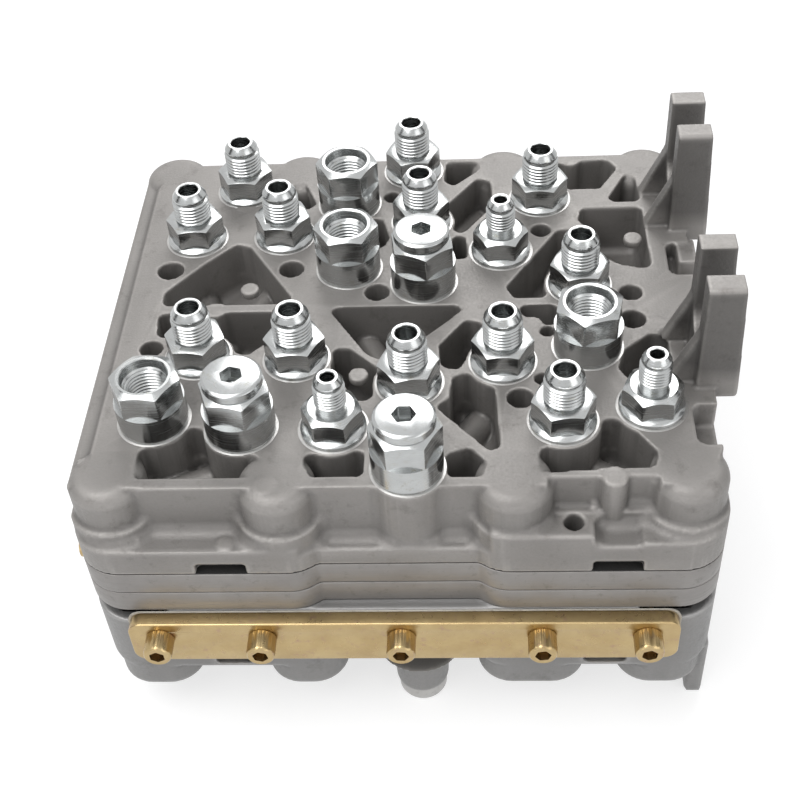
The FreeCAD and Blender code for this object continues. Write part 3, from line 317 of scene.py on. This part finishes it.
def join(name, objs):
    deselect()
    for obj in objs:
        obj.select_set(True)
    bpy.context.view_layer.objects.active = objs[0]
    if len(objs) > 1:
        bpy.ops.object.join()
    made = bpy.context.object
    made.name = name
    return made


def finish_piece(obj, slot, replaced=(), material=None, crease=32):
    choose(obj)
    bpy.ops.object.shade_smooth_by_angle(angle=math.radians(crease))
    obj.data.materials.clear()
    obj.data.materials.append(MATERIALS[material or slot])
    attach(obj, "root")
    if replaced:
        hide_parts(*replaced)
    return obj


def merged_copy(node):
    """A copy of a CAD node's mesh with its loose triangles merged."""
    made = bpy.data.objects.new(node + "_dressed", NODES[node].data.copy())
    bpy.context.scene.collection.objects.link(made)
    choose(made)
    bpy.ops.object.mode_set(mode="EDIT")
    bpy.ops.mesh.select_all(action="SELECT")
    bpy.ops.mesh.remove_doubles(threshold=0.002 * MM)
    bpy.ops.object.mode_set(mode="OBJECT")
    return made


# Castings: each CAD body is remeshed with what is cast on it, so that edges get a casting's soft turn

def block(name, x_range, y_range, z_range):
    """A box in the casting's drawing datum, from three ranges in millimetres."""
    low = Vector((x_range[0] + DATUM[0], y_range[0] + DATUM[1], z_range[0] + TOP_FACE)) * MM
    high = Vector((x_range[1] + DATUM[0], y_range[1] + DATUM[1], z_range[1] + TOP_FACE)) * MM
    deselect()
    bpy.ops.mesh.primitive_cube_add(size=1.0, location=(low + high) / 2)
    made = bpy.context.object
    made.name = name
    made.scale = high - low
    settle(made)
    return made


def remesh(obj, voxel_mm):
    apply_modifier(obj, "REMESH", mode="VOXEL", voxel_size=voxel_mm * MM, adaptivity=0.0)


def filleted(casting, region, fillet_mm):
    """The part of a casting inside a region, grown and shrunk back so that its inner corners fill out."""
    piece = combine(copy_of(casting, "piece", (0, 0, 0)), region, "INTERSECT")
    remesh(piece, 0.8)
    apply_modifier(piece, "DISPLACE", strength=fillet_mm * MM, mid_level=0.0)
    remesh(piece, 0.8)
    apply_modifier(piece, "DISPLACE", strength=-fillet_mm * MM, mid_level=0.0)
    return piece


def cast_skin(name, nodes, pieces, voxel_mm, rounds, limit, slot):
    """One skin over the merged castings, their fillets and their ridges."""
    skin = join(name, pieces)
    remesh(skin, voxel_mm)
    apply_modifier(skin, "SMOOTH", factor=0.5, iterations=rounds)
    triangles = sum(len(face.vertices) - 2 for face in skin.data.polygons)
    if triangles > limit:
        apply_modifier(skin, "DECIMATE", decimate_type="COLLAPSE", ratio=limit / triangles)
    return finish_piece(skin, slot, nodes, crease=70)


def upright(x, y, radius, z_low, z_high):
    """An upright round post in the casting's drawing datum."""
    deselect()
    bpy.ops.mesh.primitive_cylinder_add(
        vertices=40, radius=radius * MM, depth=(z_high - z_low) * MM,
        location=Vector((x + DATUM[0], y + DATUM[1], (z_low + z_high) / 2 + TOP_FACE)) * MM)
    made = bpy.context.object
    settle(made)
    return made


def passage(start, end, z, radius):
    """A cored passage that shows as a round ridge on the floor of the pockets it crosses."""
    a = Vector((start[0] + DATUM[0], start[1] + DATUM[1], TOP_FACE + z)) * MM
    b = Vector((end[0] + DATUM[0], end[1] + DATUM[1], TOP_FACE + z)) * MM
    run = b - a
    deselect()
    bpy.ops.mesh.primitive_cylinder_add(
        vertices=32, radius=radius * MM, depth=run.length, location=(a + b) / 2,
        rotation=run.to_track_quat("Z", "Y").to_euler())
    made = bpy.context.object
    settle(made)
    return made


# Start, end, height and radius of the passages, in the drawing datum
PASSAGES = [
    ((-100.5, 56.0), (-91.0, -11.5), -21.0, 5.5), ((-66.0, 56.5), (-91.0, 0.0), -20.0, 4.5),
    ((-71.5, -47.0), (-102.0, -60.0), -20.5, 5.0), ((-15.0, -26.5), (-39.5, 30.0), -20.0, 5.0),
    ((-15.0, -26.5), (-11.0, 22.0), -21.0, 5.0), ((17.5, -16.5), (-14.5, -60.0), -21.0, 5.5),
    ((37.0, -45.5), (60.0, -60.0), -20.0, 5.5), ((34.0, 76.5), (60.0, 98.0), -20.5, 5.0),
    ((46.5, 24.0), (34.0, 70.0), -20.0, 5.0), ((67.0, -39.5), (70.0, 30.0), -20.5, 5.5),
    ((-12.5, 63.0), (10.0, 90.0), -21.0, 5.0), ((50.0, 66.0), (74.0, 40.0), -20.5, 5.0),
]
# Places of the bolt bosses, front and rear, in the drawing datum
BOLT_SHOULDERS = [(-115.0, -66.0), (-58.0, -69.0), (20.0, -69.0), (77.0, -66.0),
                  (-115.3, 100.0), (-62.0, 99.5), (20.0, 99.5), (77.0, 98.5)]
# The round boss on the front rail, and the low round marks on the top face
RAIL_BOSS = (52.4, -70.6)
TOP_MARKS = [RAIL_BOSS, (-76.5, 25.0), (-83.5, 76.5), (68.5, 50.5), (73.0, 1.0), (20.0, 4.0),
             (-33.0, -22.0), (-61.0, -73.0)]
# The drain spigot's axis, in the part's frame
SPIGOT_PLACE = (2.9, -79.5, 0)

ridges = [passage(*one) for one in PASSAGES]
upper = merged_copy("upper_body")
for cut in (block("rail_cut", (31.0, 66.5), (-74.6, -70.6), (-14.0, 1.0)),
            block("left_step", (-132.0, -121.8), (-90.0, 98.5), (-1.8, 1.0)),
            block("left_end", (-132.0, -121.8), (98.0, 118.0), (-14.0, 1.0))):
    upper = combine(upper, cut, "DIFFERENCE")
pieces = [upper, merged_copy("mounting_brackets")] + ridges
# Fillets at the feet of the bolt bosses, along the walls and on the pocket floors
for y_range in ((-84.5, -68.5), (99.5, 115.5)):
    for x_range in ((-130.0, 34.2), (44.6, 92.0)):
        pieces.append(filleted(upper, block("region", x_range, y_range, (-26.0, -1.0)), 2.6))
pieces.append(filleted(upper, block("region", (-118.0, 80.0), (-68.0, 99.0), (-28.0, -13.0)), 2.4))
# Fuller shoulders on the bolt bosses, as high as the top face
shoulder = turned("shoulder", [(0.3, -18.0), (13.0, -18.0), (13.0, -4.6), (12.4, -2.6), (11.2, -1.2),
                               (9.6, -0.3), (8.0, -0.05), (0.3, -0.05)])
close_poles(shoulder)
for x, y in BOLT_SHOULDERS:
    pieces.append(copy_of(shoulder, "s", (x + DATUM[0], y + DATUM[1], TOP_FACE)))
bpy.data.objects.remove(shoulder)
# The boss on the front rail, a pin on the ledge, and the lip and sill that close the right side's notch
pieces += [upright(*RAIL_BOSS, 4.4, -24.0, 0.0), upright(-76.0, -80.2, 2.7, -24.0, -20.4),
           block("lip", (84.5, 91.6), (36.0, 49.5), (-32.0, -0.6)),
           block("sill", (80.0, 91.6), (28.0, 49.5), (-32.0, -8.0))]
for x, y in TOP_MARKS:
    pieces.append(upright(x, y, 3.5, -3.0, 0.3))
cast_skin("upper_casting", ("upper_body", "mounting_brackets"), pieces, 0.75, 2, UPPER_SKIN_LIMIT,
          "cast_body")

# Dark hollows under the corners of the lower plate, behind a narrow lip, and the boss round the drain spigot
lower = merged_copy("lower_body")
for x_range in ((-119.0, -103.0), (65.0, 81.0)):
    for y_range in ((-79.5, -70.0), (101.0, 110.5)):
        lower = combine(lower, block("hollow", x_range, y_range, (-74.0, -57.5)), "DIFFERENCE")
boss = turned("boss", [(8.0, 7.6), (9.3, 7.6), (9.8, 8.2), (10.4, 22.0), (11.2, 25.5), (13.0, 28.5),
                       (16.5, 30.6), (8.0, 31.0)])
pieces = [lower, merged_copy("support_legs"), copy_of(boss, "b", SPIGOT_PLACE)]
bpy.data.objects.remove(boss)
cast_skin("lower_casting", ("lower_body", "support_legs"), pieces, 0.8, 2, LOWER_SKIN_LIMIT,
          "cast_lower")
spigot = turned("spigot", [(5.5, 0.6), (7.4, 0.6), (8.5, 1.2), (9.0, 2.4), (9.0, 6.4), (8.6, 7.4),
                           (7.8, 7.8), (7.8, 20.0), (5.5, 20.0)])
pieces = [copy_of(spigot, "b", SPIGOT_PLACE)]
bpy.data.objects.remove(spigot)
finish_piece(join("drain_spigot_dressed", pieces), "cast_lower", ("drain_spigot",), material="spotface")

# The plates keep their CAD shape, with the sharp edges taken off
for plate in ("upper_plate", "lower_plate"):
    dressed = merged_copy(plate)
    apply_modifier(dressed, "DECIMATE", decimate_type="DISSOLVE", angle_limit=math.radians(1))
    apply_modifier(dressed, "BEVEL", width=0.35 * MM, segments=3, limit_method="ANGLE",
                   angle_limit=math.radians(50), use_clamp_overlap=False)
    finish_piece(dressed, "cast_body", (plate,), material="plate_edges", crease=40)


# Adapters

# The cone's half angle, and the radial depth of a thread in millimetres
FLARE_ANGLE = 37
THREAD_DEPTH = 0.75


def thread(root_r, crest_r, z_low, pitch, turns):
    """The outline of a thread's turns, from root to crest and back."""
    outline = []
    for turn in range(turns):
        z = z_low + turn * pitch
        outline += [(root_r, z), (crest_r, z + 0.38 * pitch), (crest_r, z + 0.58 * pitch)]
    return outline + [(root_r, z_low + turns * pitch)]


def wrench_hexagon(name, across_flats, z_low, z_high, top_r, fall):
    """A hexagon whose top corners are turned down along a cone."""
    wrench = hexagon(name, across_flats, z_low, z_high)
    corner_r = across_flats / 2 / math.cos(math.radians(30)) + 0.1
    envelope = turned(name + "_envelope", [
        (0.5, z_low - 0.5), (corner_r, z_low - 0.5), (corner_r, z_high - fall), (top_r, z_high),
        (0.5, z_high)])
    return combine(wrench, envelope, "INTERSECT")


def flare_adapter(name, collar, hexes, thread_r, pitch, turns, cone_r, tip_r, bore_r, height):
    """A male flare adapter: collar, wrench hexagon, threads and the cone that the pipe seals on."""
    collar_r, collar_h = collar
    across, hex_top, top_r, fall = hexes
    root_r = thread_r - THREAD_DEPTH
    cone_h = (cone_r - tip_r) / math.tan(math.radians(FLARE_ANGLE))
    groove_z = height - cone_h - 2.0
    low = groove_z - turns * pitch
    outline = [(bore_r, -12.0), (7.0, -12.0), (7.0, 0.0), (collar_r - 0.3, 0.0), (collar_r, 0.3),
               (collar_r, collar_h - 1.2), (collar_r - 0.3, collar_h - 0.9), (across / 2 + 0.3, collar_h),
               (root_r + 0.2, collar_h), (root_r + 0.2, low - 0.2)]
    outline += thread(root_r, thread_r, low, pitch, turns)
    cone_foot = height - cone_h
    outline += [(cone_r - 0.5, groove_z + 0.1), (cone_r - 0.5, groove_z + 0.5),
                (cone_r - 0.1, groove_z + 0.8), (cone_r, groove_z + 1.0), (cone_r, cone_foot - 0.3),
                (cone_r - 0.25, cone_foot + 0.15), (tip_r + 0.2, height - 0.3), (tip_r - 0.1, height),
                (bore_r + 0.25, height), (bore_r, height - 0.3)]
    body = turned(name, outline)
    wrench = wrench_hexagon(name + "_wrench", across, collar_h - 0.3, hex_top, top_r, fall)
    return join(name, [body, wrench])


def female_adapter(name):
    """A female adapter: a turned barrel with six flats milled into its upper half and a threaded mouth."""
    inner = thread(7.1, 6.4, 5.4, 1.411, 8)
    barrel = turned(name, [
        (3.5, -12.0), (7.0, -12.0), (7.0, 0.0), (11.7, 0.0), (12.0, 0.3), (12.1, 19.6), (9.5, 20.95),
        (9.3, 21.1), (8.4, 21.1), (8.1, 20.8), (7.8, 17.6), (7.1, 16.9)] + inner[::-1] + [(3.5, 5.2)])
    flats = join(name + "_flats", [
        hexagon(name + "_hex", 21.2, 10.6, 24.0),
        turned(name + "_foot", [(0.5, -14.0), (14.0, -14.0), (14.0, 10.6), (0.5, 10.6)])])
    core = turned(name + "_core", [(0.4, -15.0), (15.0, -15.0), (15.0, 10.5), (0.4, 10.5)])
    flats = combine(flats, core, "UNION")
    return combine(barrel, flats, "INTERSECT")


def closing_plug(name):
    """A plug with a round head and a hexagon socket."""
    outline = [(0.3, -12.0), (6.3, -12.0), (6.3, -2.3), (7.8, -2.3), (7.8, -0.2), (9.4, 0.0), (10.2, 0.5),
               (10.2, 3.0), (9.5, 3.75), (9.0, 3.9), (0.3, 3.9)]
    body = turned(name, outline)
    close_poles(body)
    return combine(body, hexagon(name + "_socket", 7.0, -3.0, 5.0), "DIFFERENCE")


def mount_place(name, height):
    """A mount's place in millimetres, at a height of its own."""
    x, y, _ = MOUNTS[name]["pos_m"]
    return (x / MM, y / MM, height)


large = flare_adapter(
    "large_adapter", collar=(11.4, 2.3), hexes=(19.0, 10.8, 8.9, 1.1), thread_r=6.95, pitch=1.411,
    turns=6, cone_r=6.5, tip_r=4.9, bore_r=3.75, height=23.6)
small = flare_adapter(
    "small_adapter", collar=(11.2, 2.5), hexes=(18.2, 10.6, 7.9, 1.9), thread_r=5.45, pitch=1.27,
    turns=6, cone_r=5.0, tip_r=3.6, bore_r=2.4, height=24.2)
female = female_adapter("female_adapter")
plug = closing_plug("closing_plug")

# How far each adapter was tightened, in degrees, and the places of the plugged ones in millimetres
LARGE_TURNS = [28, 33, 25, 36, 30, 27, 34, 24, 31, 38, 29, 35]
SMALL_TURNS = [30, 26, 35]
FEMALE_TURNS = [30, 33, 48, 27, 8, 20, 31]
PLUGGED = [(5.9, 18.5), (-54.6, -55.5), (2.4, -74.5)]
PLUG_SEAT = 21.3

large_places = [mount_place("large_flare_%d" % n, TOP_FACE) for n in range(1, 13)]
small_places = [mount_place("small_flare_%d" % n, TOP_FACE) for n in range(1, 4)]
female_places = [mount_place("female_port_%d" % n, TOP_FACE) for n in range(1, 5)]
female_places += [(x, y, TOP_FACE) for x, y in PLUGGED]
under_places = [mount_place("underside_flare_%d" % n, UNDER_SEAT) for n in range(1, 7)]

pieces = [copy_of(large, "a", p, t) for p, t in zip(large_places, LARGE_TURNS)]
finish_piece(join("large_flare_adapters_dressed", pieces), "bright_zinc", ("large_flare_adapters",))
pieces = [copy_of(small, "a", p, t) for p, t in zip(small_places, SMALL_TURNS)]
finish_piece(join("small_flare_adapters_dressed", pieces), "bright_zinc", ("small_flare_adapters",))
pieces = [copy_of(female, "a", p, t) for p, t in zip(female_places, FEMALE_TURNS)]
finish_piece(join("female_adapters_dressed", pieces), "bright_zinc", ("female_adapters",))
pieces = [copy_of(plug, "a", (x, y, TOP_FACE + PLUG_SEAT), 15 * n)
          for n, (x, y) in enumerate(PLUGGED)]
finish_piece(join("closing_plugs_dressed", pieces), "bright_zinc", ("closing_plugs",))
pieces = [copy_of(large, "a", p, 11 * n, flip=True) for n, p in enumerate(under_places)]
finish_piece(join("underside_adapters_dressed", pieces), "bright_zinc", ("underside_adapters",))

# Machined rings that the collars seat on
pieces = []
for collar_r, places in ((11.4, large_places + small_places), (12.0, female_places)):
    ring = turned("seat_ring", [(10.6, -0.6), (collar_r + 0.8, -0.6), (collar_r + 0.8, 0.05),
                                (collar_r + 0.6, 0.12), (10.6, 0.12)])
    pieces += [copy_of(ring, "a", place) for place in places]
    bpy.data.objects.remove(ring)
finish_piece(join("port_seat_rings", pieces), "cast_body", material="spotface")


# Cover screws, with knurled heads

def cover_screw(name):
    """A socket screw, its axis on z and the underside of its head at 0."""
    body = turned(name, [
        (0.3, -16.0), (2.6, -16.0), (3.0, -15.6), (3.0, 0.0), (4.7, 0.0), (5.0, 0.3), (5.0, 6.9),
        (4.8, 7.5), (4.3, 8.0), (0.3, 8.0)], steps=90)
    for vertex in body.data.vertices:
        angle = math.degrees(math.atan2(vertex.co.y, vertex.co.x)) / 4
        outer = math.hypot(vertex.co.x, vertex.co.y) > 4.9 * MM
        if outer and 0.2 * MM < vertex.co.z < 7 * MM and round(angle) % 2:
            vertex.co.x *= 0.975
            vertex.co.y *= 0.975
    close_poles(body)
    return combine(body, hexagon(name + "_socket", 5.0, 2.5, 9.0), "DIFFERENCE")


screw = cover_screw("cover_screw")
SCREW_X = (-86.6, -50.6, -2.1, 46.4, 82.4)
COVER_FACE_Y = -98.5
SCREW_Z = 56.8
pieces = []
for number, x in enumerate(SCREW_X):
    one = screw.data.copy()
    one.transform(Matrix.Rotation(math.radians(13 * number), 4, "Z"))
    one.transform(Matrix.Rotation(math.pi / 2, 4, "X"))
    one.transform(Matrix.Translation(Vector((x, COVER_FACE_Y, SCREW_Z)) * MM))
    made = bpy.data.objects.new("a", one)
    bpy.context.scene.collection.objects.link(made)
    pieces.append(made)
finish_piece(join("cover_screws_dressed", pieces), "yellow_zinc", ("cover_screws",))

cover = merged_copy("front_cover")
apply_modifier(cover, "DECIMATE", decimate_type="DISSOLVE", angle_limit=math.radians(1))
apply_modifier(cover, "BEVEL", width=0.5 * MM, segments=3, limit_method="ANGLE",
               angle_limit=math.radians(50), use_clamp_overlap=False)
finish_piece(cover, "yellow_zinc", ("front_cover",), crease=40)

for tool in (large, small, female, plug, screw):
    bpy.data.objects.remove(tool)

# CAD nodes that keep their own mesh get their finish
for entry in frame["record"]["subparts"]:
    node = NODES[entry["node"]]
    node.data.materials.clear()
    node.data.materials.append(MATERIALS[entry["material_slot"]])


# Floor, backdrop and light

def stage_floor():
    """A floor that the camera and the metal see as white, and that keeps the object's shadow."""
    deselect()
    bpy.ops.mesh.primitive_plane_add(size=6.0, location=(0, 0, 0))
    floor = bpy.context.object
    floor.name = "floor"
    made, tree = new_material("white_floor")
    path = add_node(tree, "ShaderNodeLightPath")
    seen = add_node(tree, "ShaderNodeMath", {
        0: path.outputs["Is Camera Ray"], 1: path.outputs["Is Glossy Ray"]}, operation="MAXIMUM")
    lit = add_node(tree, "ShaderNodeBsdfDiffuse", {"Color": (0.42, 0.42, 0.42, 1)})
    glow = add_node(tree, "ShaderNodeEmission", {"Color": (1, 1, 1, 1), "Strength": 0.68})
    both = add_node(tree, "ShaderNodeAddShader", {0: lit.outputs[0], 1: glow.outputs[0]})
    plain = add_node(tree, "ShaderNodeBsdfDiffuse", {"Color": (0.7, 0.7, 0.7, 1)})
    mixed = add_node(tree, "ShaderNodeMixShader", {
        0: seen.outputs[0], 1: plain.outputs[0], 2: both.outputs[0]})
    add_node(tree, "ShaderNodeOutputMaterial", {"Surface": mixed.outputs[0]})
    floor.data.materials.append(made)


def white_world():
    """A white backdrop for what is seen and mirrored, and a soft sky for the light on the object."""
    world = bpy.data.worlds.new("studio")
    bpy.context.scene.world = world
    world.use_nodes = True
    tree = world.node_tree
    tree.nodes.clear()
    path = add_node(tree, "ShaderNodeLightPath")
    shiny = add_node(tree, "ShaderNodeMath", {
        0: path.outputs["Is Glossy Ray"], 1: path.outputs["Is Transmission Ray"]}, operation="MAXIMUM")
    seen = add_node(tree, "ShaderNodeMath", {0: path.outputs["Is Camera Ray"], 1: shiny.outputs[0]},
                    operation="MAXIMUM")
    white = add_node(tree, "ShaderNodeBackground", {"Color": (1, 1, 1, 1), "Strength": 1.0})
    soft = add_node(tree, "ShaderNodeBackground", {"Color": (0.97, 0.98, 1, 1), "Strength": 0.34})
    mixed = add_node(tree, "ShaderNodeMixShader", {
        0: seen.outputs[0], 1: soft.outputs[0], 2: white.outputs[0]})
    add_node(tree, "ShaderNodeOutputWorld", {"Surface": mixed.outputs[0]})


def softbox(name, place, size, power):
    """A rectangular lamp that points at the object's middle."""
    light = bpy.data.lights.new(name, "AREA")
    light.shape = "RECTANGLE"
    light.size, light.size_y = size
    light.energy = power
    obj = bpy.data.objects.new(name, light)
    obj.location = place
    obj.rotation_euler = (Vector((0, 0, 0.08)) - Vector(place)).to_track_quat("-Z", "Y").to_euler()
    bpy.context.scene.collection.objects.link(obj)


def dark_card(name, place, size):
    """A black card out of the camera's sight, which gives the bright metal something to reflect."""
    deselect()
    bpy.ops.mesh.primitive_plane_add(size=1.0, location=place)
    card = bpy.context.object
    card.name = name
    card.scale = (size[0], size[1], 1)
    card.rotation_euler = (Vector((0, 0, 0.1)) - Vector(place)).to_track_quat("Z", "Y").to_euler()
    card.visible_camera = False
    card.visible_diffuse = False
    card.visible_shadow = False
    made, tree = new_material(name)
    shader = add_node(tree, "ShaderNodeBsdfDiffuse", {"Color": (0.02, 0.02, 0.02, 1)})
    add_node(tree, "ShaderNodeOutputMaterial", {"Surface": shader.outputs[0]})
    card.data.materials.append(made)


stage_floor()
white_world()
softbox("key", (-0.38, -0.3, 1.05), (0.85, 0.85), 8.6)
softbox("fill", (0.75, -0.6, 0.6), (0.6, 0.6), 1.6)
softbox("back", (0.15, 0.9, 0.9), (1.0, 0.5), 7.0)
softbox("front_low", (0.0, -0.55, 0.12), (0.6, 0.12), 0.6)
dark_card("left_card", (-0.9, -0.1, 0.35), (0.25, 0.8))
dark_card("right_card", (0.95, 0.2, 0.35), (0.25, 0.8))
dark_card("front_card", (0.0, -1.0, 0.25), (0.9, 0.22))

bpy.context.scene.view_settings.view_transform = "Standard"
